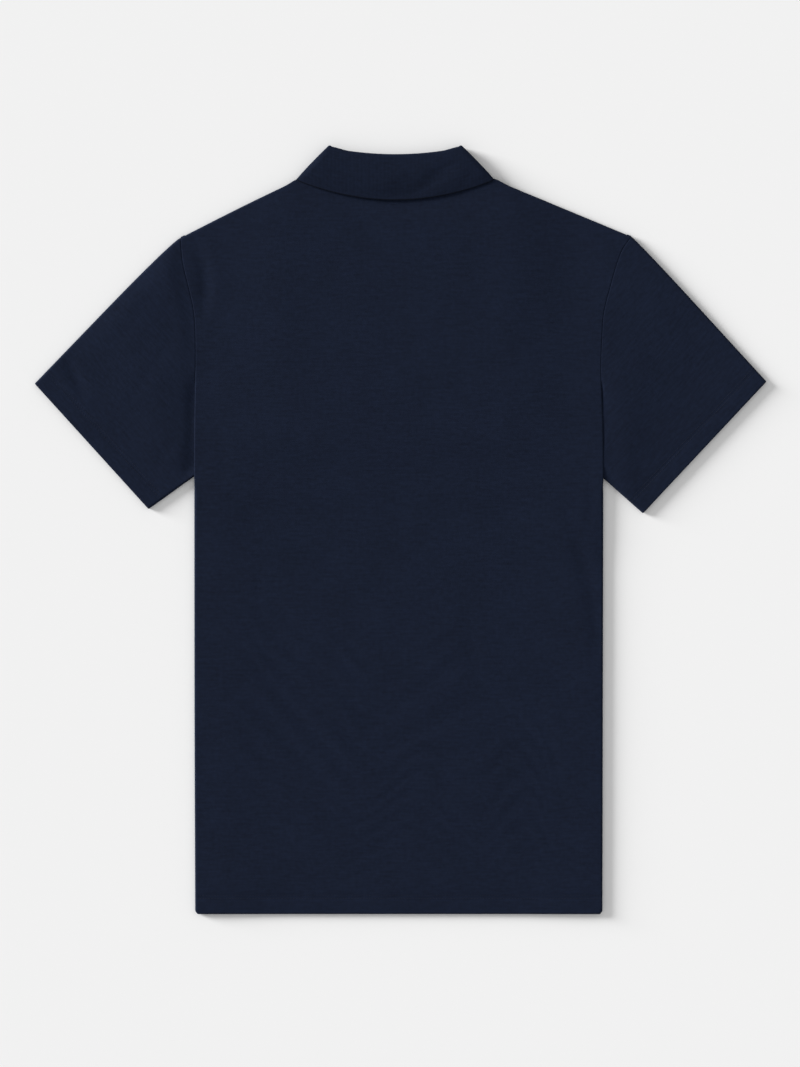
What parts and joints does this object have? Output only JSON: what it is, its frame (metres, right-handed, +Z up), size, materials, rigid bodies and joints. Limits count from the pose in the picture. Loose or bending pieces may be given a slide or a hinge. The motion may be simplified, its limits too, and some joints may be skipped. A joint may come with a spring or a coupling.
{
  "type": "polo shirt",
  "caption": "Short-sleeved navy polo shirt laid flat on its front, back up, with a folded collar and a buttoned placket underneath.",
  "frame": {"origin": "middle of the outline on the surface that the shirt lies on", "axes": "+X across the shirt to the sleeve that lies on the right seen from above, +Y from the hem to the collar, +Z up out of the back"},
  "size_m": [0.7002, 0.738, 0.0096],
  "materials": {
    "body_knit": "fine matt cotton knit, dyed navy",
    "collar_knit": "firmer knitted collar, dyed navy",
    "button_resin": "navy resin, satin"
  },
  "bodies": {
    "root": {"back": "body_knit", "front": "body_knit", "sleeve_left": "body_knit", "sleeve_right": "body_knit", "collar": "collar_knit", "placket_top": "body_knit", "placket_under": "body_knit", "button_1": "button_resin", "button_2": "button_resin", "button_3": "button_resin"}
  },
  "joints": []
}
